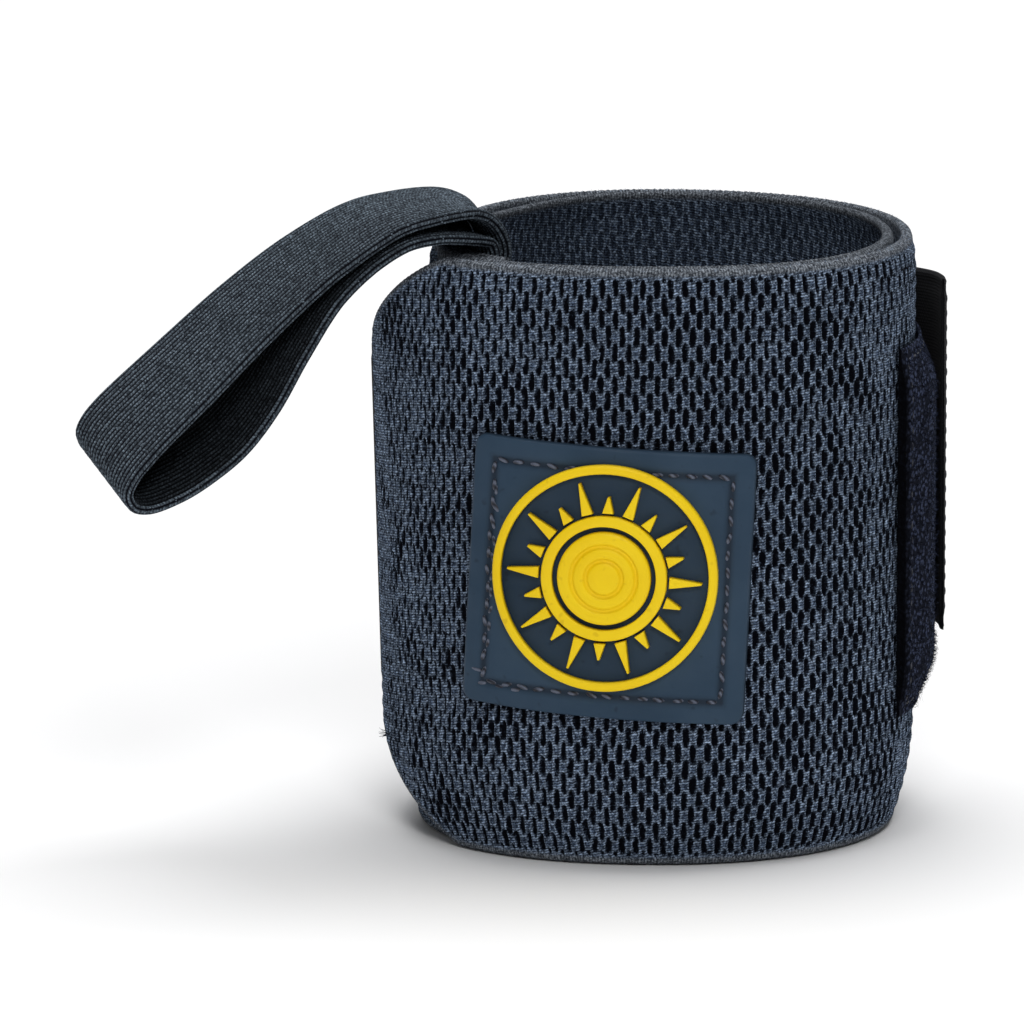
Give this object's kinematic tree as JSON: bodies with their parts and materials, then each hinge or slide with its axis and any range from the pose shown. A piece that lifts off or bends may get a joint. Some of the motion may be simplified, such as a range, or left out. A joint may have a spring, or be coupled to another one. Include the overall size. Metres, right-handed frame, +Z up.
{
  "type": "wrist wrap",
  "caption": "Elastic wrist support band rolled on itself, with a thumb loop over the rim, a hook strap closed on a pile patch and a sewn rubber label patch.",
  "frame": {"origin": "middle of the whole wrap's box, at the level of the lower edge that it stands on", "axes": "+Z up along the roll's axis, -Y towards the label at the front, the thumb loop hangs towards -X"},
  "size_m": [0.1162, 0.0794, 0.0864],
  "materials": {
    "elastic": "matte open woven elastic",
    "loop_webbing": "matte fine knitted elastic",
    "pile": "napped loop pile",
    "hook": "woven nylon with moulded hooks",
    "slate_rubber": "satin soft rubber",
    "yellow_rubber": "satin soft rubber"
  },
  "bodies": {
    "root": {"elastic_band": "elastic", "thumb_loop": "loop_webbing", "pile_patch": "pile", "hook_strap": "hook", "label_patch": "slate_rubber", "label_border": "yellow_rubber", "label_sun": "yellow_rubber", "label_hub": "yellow_rubber"}
  },
  "joints": []
}
